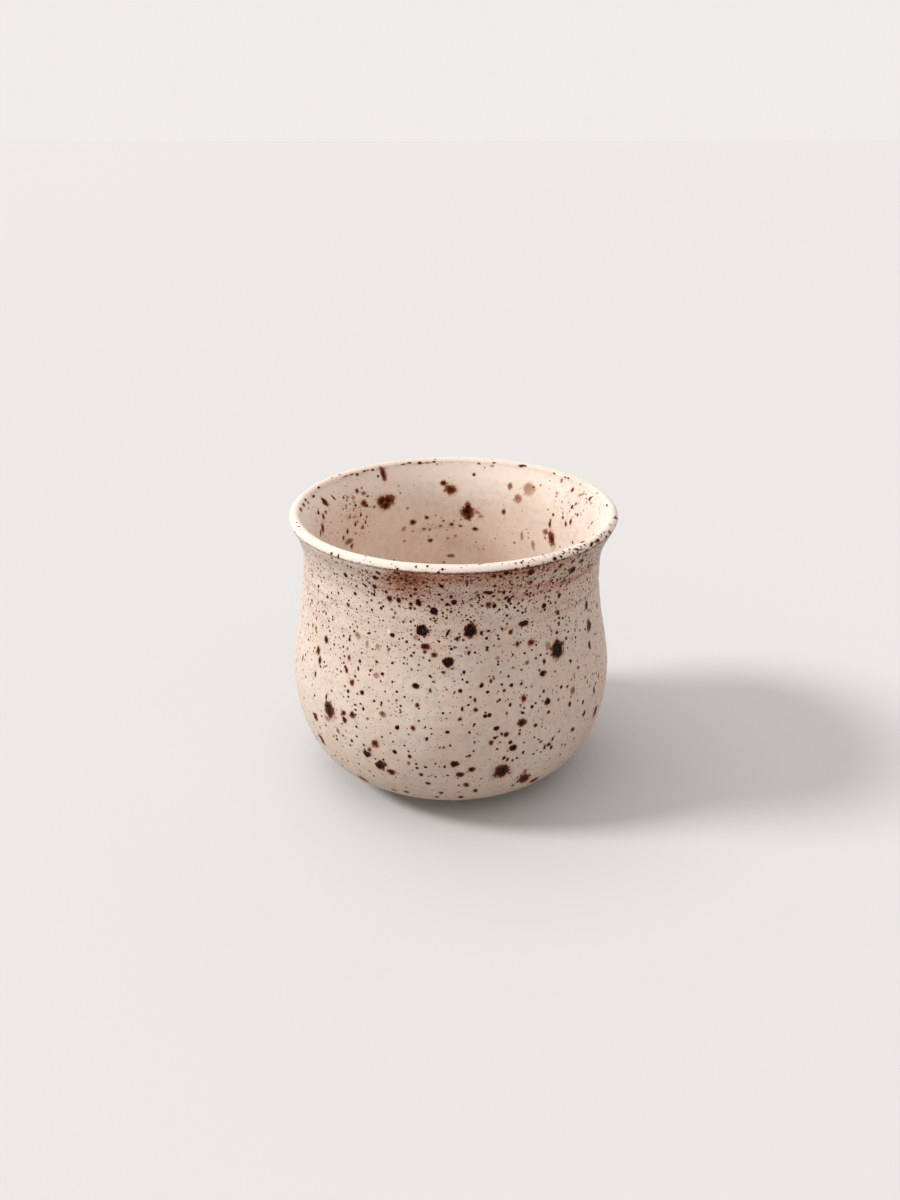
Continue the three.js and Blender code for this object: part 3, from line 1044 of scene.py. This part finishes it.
# %% Grooves of the turning tool, and coarse grains, on the bare clay
groove_relief = 0.05 * MM
groove_spacing = 0.8 * MM
grit_relief = 0.03 * MM
grit_size = 0.9 * MM
resting_height = 0.05 * MM
for vert in clay_pot.verts:
    place = vert.co.copy()
    vert.co = wobbled(place)
    vert.co.z = max(vert.co.z, 0)
    if resting_height < place.z < glaze_line_height:
        section_place = spot_at(place.xy.length / groove_spacing, place.z / groove_spacing)
        groove = noise.noise(section_place)
        grit = noise.noise(place / grit_size)
        vert.co += (groove_relief * groove + grit_relief * grit) * vert.normal
bmesh.ops.recalc_face_normals(clay_pot, faces=clay_pot.faces)
print("clay pot:", len(clay_pot.faces), "faces")

# %% [markdown]
# ## From bmesh to pieces
# Each bmesh becomes one object at the origin, unturned and unscaled, with its place in
# its mesh. Smooth shading hides the facets, and edges with a steep fold, where a coat
# ends square on the clay, are marked sharp so that their shading doesn't bleed.

# %% Pieces
sharp_fold = math.radians(50)


def piece_from(bm, name):
    """Writes a bmesh to a new object in the scene."""
    for edge in bm.edges:
        edge.smooth = edge.calc_face_angle(math.pi) < sharp_fold
    for face in bm.faces:
        face.smooth = True
    mesh = bpy.data.meshes.new(name)
    bm.to_mesh(mesh)
    bm.free()
    piece = bpy.data.objects.new(name, mesh)
    bpy.context.scene.collection.objects.link(piece)
    triangles = sum(len(face.vertices) - 2 for face in mesh.polygons)
    print(name, "has", triangles, "triangles")
    return piece


outer_glaze = piece_from(outer_coat, "dipped_outer_glaze")
inner_glaze = piece_from(inner_coat, "poured_inner_glaze")
clay_body = piece_from(clay_pot, "thrown_clay_body")

for piece, node, slot in (
    (outer_glaze, "outer_glaze", "speckled_glaze"),
    (inner_glaze, "inner_glaze", "speckled_glaze"),
    (clay_body, "clay_body", "bare_stoneware"),
):
    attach(piece, "root")
    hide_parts(node)

# %% [markdown]
# ## The glaze
# A speckled glaze is three things on one surface: a warm cream ground that is never quite
# even, iron that has bled through it at every size from dust to lentils, and a satin skin
# that turns glossy where the iron melted. Patterns are drawn in three dimensions on Object
# coordinates, so that they need no unwrapping and have no seam. Specks are the insides of
# small balls scattered through space: wherever the surface cuts a ball, a speck shows.

# %% A small kit for wiring materials


class Finish:
    """A material under construction. Most calls add a node and hand back its output."""

    def __init__(self, name):
        self.material = bpy.data.materials.new(name)
        self.material.use_nodes = True
        self.tree = self.material.node_tree
        self.shader = self.tree.nodes["Principled BSDF"]
        self.place = self.node("ShaderNodeTexCoord", {}).outputs["Object"]

    def node(self, kind, inputs, **settings):
        """Adds a node. An input is either another node's output or a plain value."""
        made = self.tree.nodes.new(kind)
        for name, value in settings.items():
            setattr(made, name, value)
        for socket, value in inputs.items():
            if isinstance(value, bpy.types.NodeSocket):
                self.tree.links.new(value, made.inputs[socket])
            else:
                made.inputs[socket].default_value = value
        return made

    def calc(self, operation, *values, clamp=False):
        """One sum on up to three values, such as MULTIPLY_ADD: a times b plus c."""
        inputs = dict(enumerate(values))
        return self.node("ShaderNodeMath", inputs, operation=operation, use_clamp=clamp).outputs[0]

    def share(self, value, low, high):
        """0 where a value is below low, 1 above high, and an S-curve between.

        With low above high it is the other way round: 1 at small values, 0 at large ones."""
        inputs = {"Value": value, "From Min": low, "From Max": high}
        return self.node("ShaderNodeMapRange", inputs, interpolation_type="SMOOTHSTEP").outputs[0]

    def stored(self, name):
        """A number that was written onto the vertices."""
        return self.node("ShaderNodeAttribute", {}, attribute_name=name).outputs["Fac"]

    def clouds(self, size, detail=2.0, place=None):
        """Even noise around 0.5 whose lumps have a real size, as a number and as a colour."""
        inputs = {"Vector": place or self.place, "Scale": 1 / size, "Detail": detail}
        return self.node("ShaderNodeTexNoise", inputs).outputs

    def blend(self, share, first, second):
        """Goes from one colour to another as the share goes from 0 to 1."""
        inputs = {"Factor": share, 6: first, 7: second}
        return self.node("ShaderNodeMix", inputs, data_type="RGBA").outputs[2]

    def drive(self, sources):
        """Links outputs to the shader's own inputs, by name."""
        for name, source in sources.items():
            self.tree.links.new(source, self.shader.inputs[name])

    def ragged(self, amount, size):
        """The place on the object, shaken a little, so that drawn edges turn ragged."""
        inputs = {0: self.clouds(size)["Color"], 1: noise_middle}
        shake = self.node("ShaderNodeVectorMath", inputs, operation="SUBTRACT").outputs[0]
        inputs = {0: shake, 1: (2 * amount,) * 3, 2: self.place}
        return self.node("ShaderNodeVectorMath", inputs, operation="MULTIPLY_ADD").outputs[0]

    def specks(self, place, cell, biggest, presence, evenness):
        """Specks: one ball in a share of the cells of space, with a radius drawn by chance.

        Hands back where the specks are, where their rusty fringes are, and a number by
        chance for each speck."""
        cells = self.node("ShaderNodeTexVoronoi", {"Vector": place, "Scale": 1 / cell})
        chances = self.node("ShaderNodeSeparateColor", {0: cells.outputs["Color"]}).outputs
        present = self.calc("LESS_THAN", chances[1], presence)
        radius = self.calc("MULTIPLY", self.calc("POWER", chances[0], evenness), present)
        inside = self.calc("MULTIPLY_ADD", radius, biggest / cell, -speck_softness / 2)
        inside = self.calc("SUBTRACT", inside, cells.outputs["Distance"])
        speck = self.calc("MULTIPLY", inside, 1 / speck_softness, clamp=True)
        around = self.calc("MULTIPLY_ADD", present, fringe_width / cell, inside)
        fringe = self.calc("MULTIPLY", around, 1 / fringe_softness, clamp=True)
        return speck, fringe, chances[2]


noise_middle = (0.5, 0.5, 0.5)
speck_softness = 0.06
fringe_softness = 2 * speck_softness
fringe_width = 0.09 * MM
finest_detail = 4.0

# %% Colours of the glaze, as linear light
cream = (0.85, 0.745, 0.655, 1)
warm_cream = (0.83, 0.675, 0.57, 1)
rosy_cream = (0.84, 0.69, 0.60, 1)
greyish_cream = (0.71, 0.63, 0.555, 1)
# Pale cream of the inside and the lip, also the colour of the painted glint on the bubble.
pale_cream_and_painted_glint = (0.92, 0.83, 0.745, 1)
# Brown of clay seen through thin glaze, also used as painted shade under the lip and the ring
# ridges.
clay_shows_and_shade = (0.60, 0.285, 0.205, 1)
scorched_red = (0.32, 0.115, 0.073, 1)
speck_black = (0.022, 0.0032, 0.001, 1)
iron_black = (0.005, 0.0008, 0.0004, 1)
iron_brown = (0.032, 0.011, 0.006, 1)
crystal_and_glint_flake = (0.17, 0.145, 0.125, 1)
dark_rust = (0.085, 0.016, 0.0055, 1)
pale_rust = (0.27, 0.095, 0.042, 1)
line_brown = (0.055, 0.017, 0.007, 1)
buried_rust = (0.46, 0.255, 0.155, 1)

# %% Ground: cream that is never quite even, paler inside and on the lip, and patched with
# painted shade and a painted glint
drift_size = 14 * MM
drift_range = (0.4, 0.62)
patch_size = 4.5 * MM
patch_range = (0.46, 0.6)
rosiness = 0.6
mottle_size = 1.7 * MM
mottle_range = (0.44, 0.72)
lip_heights = (70 * MM, 77.5 * MM)
least_pale = 0.3
paler_at_lip = 0.6

glaze = Finish("speckled_glaze")
drift = glaze.clouds(drift_size, detail=3.0)[0]
ground = glaze.blend(glaze.share(drift, *drift_range), cream, warm_cream)
patchy = glaze.share(glaze.clouds(patch_size, detail=3.0)[0], *patch_range)
ground = glaze.blend(glaze.calc("MULTIPLY", patchy, rosiness), ground, rosy_cream)
mottle = glaze.clouds(mottle_size, finest_detail)[0]
ground = glaze.blend(glaze.share(mottle, *mottle_range), ground, greyish_cream)
height = glaze.node("ShaderNodeSeparateXYZ", {0: glaze.place}).outputs["Z"]
near_lip = glaze.share(height, *lip_heights)
paleness_and_painted_light = glaze.calc("MULTIPLY_ADD", near_lip, paler_at_lip, least_pale)
# The pale share also holds painted shade on the far rim and inner right wall, and a painted glint on
# the bubble.
paleness_and_painted_light = glaze.calc("MULTIPLY", glaze.stored("pale"), paleness_and_painted_light)
ground = glaze.blend(paleness_and_painted_light, ground, pale_cream_and_painted_glint)

# %% Thin glaze: clay shows through below the rings and where the neck is scorched; under
# the ring ridges and the lip the same brown is partly painted shade
smoke_size = 0.5 * MM
smoke_range = (0.2, 0.62)
ring_thinness_and_shade = 0.23
clay_range = (0.0, 0.55)
red_range = (0.35, 0.95)
edge_start = (-0.15 * MM, 0.3 * MM)

smoke = glaze.clouds(smoke_size, finest_detail)[0]
under = glaze.stored("under")
# The ring line's brown is partly painted shade under each ridge.
thin = glaze.calc("MULTIPLY_ADD", glaze.stored("thin"), ring_thinness_and_shade, glaze.stored("scorch_and_shade"))
thin = glaze.calc("MULTIPLY", thin, glaze.share(under, *edge_start))
# Under the lip and below the ring ridges this brown is partly painted shade.
scorch_and_shade = glaze.calc("MULTIPLY", thin, glaze.share(smoke, *smoke_range))
ground = glaze.blend(glaze.share(scorch_and_shade, *clay_range), ground, clay_shows_and_shade)
ground = glaze.blend(glaze.share(scorch_and_shade, *red_range), ground, scorched_red)

# %% A broken brown line along the edges of the lip, with a smudge above it
line_below = 0.45 * MM
line_half_width = 0.48 * MM
line_core = 0.08 * MM
wander_size = 1.5 * MM
line_wander = 0.5 * MM
break_size = 1.1 * MM
break_range = (0.37, 0.53)
smudge_rise = (-0.9 * MM, 0.4 * MM)
smudge_end = (0.8 * MM, 0.4 * MM)
smudge_range = (0.48, 0.66)
smudge_strength = 0.75

lined = glaze.stored("lined")
wander = glaze.calc(
    "MULTIPLY_ADD", glaze.clouds(wander_size)[0], line_wander, -line_wander / 2 - line_below)
off_line = glaze.calc("ABSOLUTE", glaze.calc("ADD", under, wander))
line = glaze.share(off_line, line_half_width, line_core)
broken = glaze.share(glaze.clouds(break_size, finest_detail)[0], *break_range)
line = glaze.calc("MULTIPLY", glaze.calc("MULTIPLY", line, broken), lined)
smudge = glaze.calc("MULTIPLY", glaze.share(under, *smudge_rise), glaze.share(under, *smudge_end))
smudge = glaze.calc("MULTIPLY", smudge, glaze.share(smoke, *smudge_range))
smudge = glaze.calc("MULTIPLY", smudge, glaze.calc("MULTIPLY", lined, smudge_strength))
surface = glaze.blend(smudge, ground, pale_rust)
surface = glaze.blend(line, surface, line_brown)

# %% Specks in four sizes, black or rusty by chance, and rustier inside
shake = 0.19 * MM
shake_size = 0.45 * MM
finest_share = 0.5
thick_range = (0.75, 1.3)
thick_share = 0.75
large_growth = 0.32
large_start = 0.2
fringe_strength = 0.6
tone_range = (0.15, 1.0)
sunk_range = (0.5, 1.3)
sinking = -0.6
full_strength = 0.98

dust = glaze.stored("dust")
shaken = glaze.ragged(shake, shake_size)
some_dust = glaze.calc("MULTIPLY", dust, finest_share)
thick_dust = glaze.calc("MULTIPLY", glaze.share(dust, *thick_range), thick_share)
dust_squared = glaze.calc("MULTIPLY", dust, dust)
more_dust = glaze.calc("MULTIPLY_ADD", dust_squared, large_growth, large_start)
rusty_inside = glaze.stored("inside")
all_specks = 0.0
for cell, biggest, presence, evenness in (
    (0.50 * MM, 0.19 * MM, some_dust, 0.6),
    (1.00 * MM, 0.48 * MM, dust, 0.9),
    (1.35 * MM, 0.60 * MM, thick_dust, 0.8),
    (2.20 * MM, 0.70 * MM, more_dust, 1.4),
):
    mask, fringe, chance = glaze.specks(shaken, cell, biggest, presence, evenness)
    chance = glaze.calc("ADD", chance, rusty_inside)
    surface = glaze.blend(glaze.calc("MULTIPLY", fringe, fringe_strength), surface, pale_rust)
    tone = glaze.blend(glaze.share(chance, *tone_range), speck_black, dark_rust)
    strength = glaze.calc(
        "MULTIPLY_ADD", glaze.share(chance, *sunk_range), sinking, full_strength)
    surface = glaze.blend(glaze.calc("MULTIPLY", mask, strength), surface, tone)
    all_specks = glaze.calc("MAXIMUM", mask, all_specks)

# %% Iron spots: how near the middle, once the edge is torn into threads and lobes
thread_stretch = (1, 1, 0.55)
thread_size = 0.55 * MM
thread_depth = 1.1
thread_middle = -0.53
lobe_size = 1.7 * MM
lobe_depth = 0.8
lobe_middle = -0.38

stretched_place = glaze.node(
    "ShaderNodeVectorMath", {0: glaze.place, 1: thread_stretch}, operation="MULTIPLY").outputs[0]
threads = glaze.clouds(thread_size, detail=3.5, place=stretched_place)[0]
threads = glaze.calc("MULTIPLY_ADD", threads, thread_depth, thread_middle)
nearness = glaze.calc("ADD", glaze.stored("iron"), threads)
lobes = glaze.clouds(lobe_size, detail=1.0)[0]
lobes = glaze.calc("MULTIPLY_ADD", lobes, lobe_depth, lobe_middle)
nearness = glaze.calc("ADD", nearness, lobes)

# %% Iron spots: a faint halo, then the rusty body
halo_range = (-0.8, 0.1)
halo_growth = 0.42
least_halo = 0.1
buried_range = (0.86, 0.96)
buried_fading = -0.25
body_range = (-0.14, 0.12)
rust_delay = -0.6
burnt_range = (-0.3, 0.15)

rust = glaze.stored("rust")
halo_strength = glaze.calc("MULTIPLY_ADD", rust, halo_growth, least_halo)
halo = glaze.calc("MULTIPLY", glaze.share(nearness, *halo_range), halo_strength)
surface = glaze.blend(halo, surface, pale_rust)
buried = glaze.share(rust, *buried_range)
body_strength = glaze.calc("MULTIPLY_ADD", buried, buried_fading, 1.0)
body = glaze.calc("MULTIPLY", glaze.share(nearness, *body_range), body_strength)
burnt = glaze.calc("MULTIPLY_ADD", rust, rust_delay, nearness)
body_tone = glaze.blend(glaze.share(burnt, *burnt_range), pale_rust, dark_rust)
body_tone = glaze.blend(buried, body_tone, buried_rust)
surface = glaze.blend(body, surface, body_tone)

# %% Iron spots: black where the iron melted, with brown flakes, and pale flakes that are
# partly crystals and partly painted glints
melted_range = (0.0, 0.2)
deep_range = (0.2, 0.6)
flake_size = 0.35 * MM
brown_range = (0.45, 0.6)
glint_range = (0.60, 0.68)

melted_depth = glaze.calc("MULTIPLY_ADD", rust, -1.0, nearness)
melted = glaze.share(melted_depth, *melted_range)
deep = glaze.share(melted_depth, *deep_range)
flakes = glaze.clouds(flake_size, detail=3.0)[0]
browner = glaze.calc("MULTIPLY", glaze.share(flakes, *brown_range), deep)
melted_tone = glaze.blend(browner, iron_black, iron_brown)
# Pale flakes in the melted middle: partly crystals, partly painted glints.
glinting = glaze.calc("MULTIPLY", glaze.share(flakes, *glint_range), deep)
melted_tone = glaze.blend(glinting, melted_tone, crystal_and_glint_flake)
surface = glaze.blend(melted, surface, melted_tone)

# %% Skin: satin, glossy where the iron melted, with a faint orange-peel
satin = 0.48
glossy = 0.2
shine = 0.07
satin_change = 0.16
satin_size = 2.5 * MM
speck_gloss = 0.7
peel_size = 0.45 * MM
leather_size = 1.8 * MM
leather_share = 2.5
speck_sinking = -0.5
bump_strength = 0.5
bump_depth = 0.06 * MM

specks_and_spots = glaze.calc("MULTIPLY", all_specks, speck_gloss)
specks_and_spots = glaze.calc("MAXIMUM", melted, specks_and_spots)
unevenly_satin = glaze.calc(
    "MULTIPLY_ADD", glaze.clouds(satin_size)[0], satin_change, satin - satin_change / 2)
roughness = glaze.calc("MULTIPLY_ADD", specks_and_spots, glossy - satin, unevenly_satin)
peel = glaze.clouds(peel_size, detail=3.0)[0]
leather = glaze.clouds(leather_size)[0]
relief = glaze.calc("MULTIPLY_ADD", specks_and_spots, speck_sinking, peel)
relief = glaze.calc("MULTIPLY_ADD", leather, leather_share, relief)
bump = glaze.node(
    "ShaderNodeBump", {"Height": relief, "Strength": bump_strength, "Distance": bump_depth})
glaze.shader.inputs["Specular IOR Level"].default_value = shine
glaze.drive({"Base Color": surface, "Roughness": roughness, "Normal": bump.outputs[0]})
outer_glaze.data.materials.append(glaze.material)
inner_glaze.data.materials.append(glaze.material)
print("glaze:", len(glaze.tree.nodes), "nodes")

# %% [markdown]
# ## Bare stoneware
# Unglazed stoneware is fired sand and clay: a toasted brown, rough to the thumb, with dark
# grains of iron and pale grains of quartz. The colour changes slowly over the foot, where
# the flame reached it unevenly.

# %% Clay finish
toasted = (0.40, 0.27, 0.17, 1)
pale_clay = (0.52, 0.39, 0.27, 1)
dark_grain = (0.07, 0.04, 0.028, 1)
quartz = (0.68, 0.60, 0.50, 1)
toasting_size = 9 * MM
toasting_range = (0.35, 0.7)
grain_share = 0.8
grain_evenness = 1.6
quartz_strength = 0.6
grain_strength = 0.85
sand_size = 0.35 * MM
sand_strength = 0.6
sand_depth = 0.12 * MM
clay_roughness = 0.88

clay = Finish("bare_stoneware")
toasting = clay.clouds(toasting_size, finest_detail)[0]
clay_surface = clay.blend(clay.share(toasting, *toasting_range), toasted, pale_clay)
grains = clay.specks(
    clay.ragged(amount=0.12 * MM, size=0.3 * MM), cell=0.8 * MM, biggest=0.30 * MM,
    presence=grain_share, evenness=grain_evenness)[0]
pale_grains = clay.specks(
    clay.ragged(amount=0.1 * MM, size=0.25 * MM), cell=0.65 * MM, biggest=0.24 * MM,
    presence=grain_share, evenness=grain_evenness)[0]
pale_share = clay.calc("MULTIPLY", pale_grains, quartz_strength)
clay_surface = clay.blend(pale_share, clay_surface, quartz)
dark_share = clay.calc("MULTIPLY", grains, grain_strength)
clay_surface = clay.blend(dark_share, clay_surface, dark_grain)
sand = clay.clouds(sand_size, finest_detail)[0]
sandy = clay.node(
    "ShaderNodeBump", {"Height": sand, "Strength": sand_strength, "Distance": sand_depth})
clay.shader.inputs["Roughness"].default_value = clay_roughness
clay.drive({"Base Color": clay_surface, "Normal": sandy.outputs[0]})
clay_body.data.materials.append(clay.material)
print("clay:", len(clay.tree.nodes), "nodes")

# %% [markdown]
# ## Floor, light and background
# A soft key light comes from the left, with a weak and very wide light overhead, and the
# world fills the shade with a warm grey. Sun lamps are used because they light a small cup
# evenly, wherever it stands, and their angle sets how soft a shadow is. The floor is pale
# to the camera and in reflections, but throws less light back up at the cup than so pale a
# floor really would: Light Path tells these kinds of ray apart.

# %% Floor
floor_half = 3.0
floor_mesh = bpy.data.meshes.new("floor")
floor_bm = bmesh.new()
bmesh.ops.create_grid(floor_bm, x_segments=1, y_segments=1, size=floor_half)
floor_bm.to_mesh(floor_mesh)
floor_bm.free()
floor = bpy.data.objects.new("floor", floor_mesh)
bpy.context.scene.collection.objects.link(floor)

pale_floor = (0.68, 0.70, 0.705, 1)
quiet_floor = (0.30, 0.27, 0.24, 1)
floor_roughness = 0.9
floor_finish = Finish("pale_floor")
light_path = floor_finish.node("ShaderNodeLightPath", {}).outputs
looked_at = floor_finish.calc("ADD", light_path["Is Camera Ray"], light_path["Is Glossy Ray"])
looked_at = floor_finish.calc("ADD", looked_at, light_path["Is Transmission Ray"], clamp=True)
floor_colour = floor_finish.blend(looked_at, quiet_floor, pale_floor)
floor_finish.shader.inputs["Roughness"].default_value = floor_roughness
floor_finish.drive({"Base Color": floor_colour})
floor_mesh.materials.append(floor_finish.material)

# %% Lights: a key from the left, and a weak wide one overhead


def distant_light(name, azimuth, elevation, spread, strength, colour):
    """A sun lamp whose light comes from a bearing and an elevation, in degrees."""
    lamp_data = bpy.data.lights.new(name, "SUN")
    lamp_data.angle = math.radians(spread)
    lamp_data.energy = strength
    lamp_data.color = colour
    lamp = bpy.data.objects.new(name, lamp_data)
    bpy.context.scene.collection.objects.link(lamp)
    turned_to = Matrix.Rotation(math.radians(azimuth), 3, "Z")
    raised_to = Matrix.Rotation(math.radians(-elevation), 3, "Y")
    way = turned_to @ raised_to @ Vector((1, 0, 0))
    lamp.rotation_euler = way.to_track_quat("Z", "Y").to_euler()


distant_light(
    "key", azimuth=184, elevation=39, spread=14, strength=2.1, colour=(1.0, 0.985, 0.96))
distant_light(
    "overhead", azimuth=150, elevation=72, spread=40, strength=0.45, colour=(1.0, 0.98, 0.97))

# %% World
world = bpy.data.worlds.new("studio")
world.use_nodes = True
bpy.context.scene.world = world
world_nodes = world.node_tree.nodes
world_links = world.node_tree.links
fill_colour = (0.66, 0.60, 0.575, 1)
backdrop_colour = (0.87, 0.85, 0.83, 1)
world_path = world_nodes.new("ShaderNodeLightPath").outputs
seen = world_nodes.new("ShaderNodeMath")
seen.operation = "SUBTRACT"
seen.inputs[0].default_value = 1
world_links.new(world_path["Is Diffuse Ray"], seen.inputs[1])
world_mix = world_nodes.new("ShaderNodeMix")
world_mix.data_type = "RGBA"
world_mix.inputs[6].default_value = fill_colour
world_mix.inputs[7].default_value = backdrop_colour
world_links.new(seen.outputs[0], world_mix.inputs[0])
world_links.new(world_mix.outputs[2], world_nodes["Background"].inputs["Color"])
bpy.context.scene.view_settings.view_transform = "Standard"
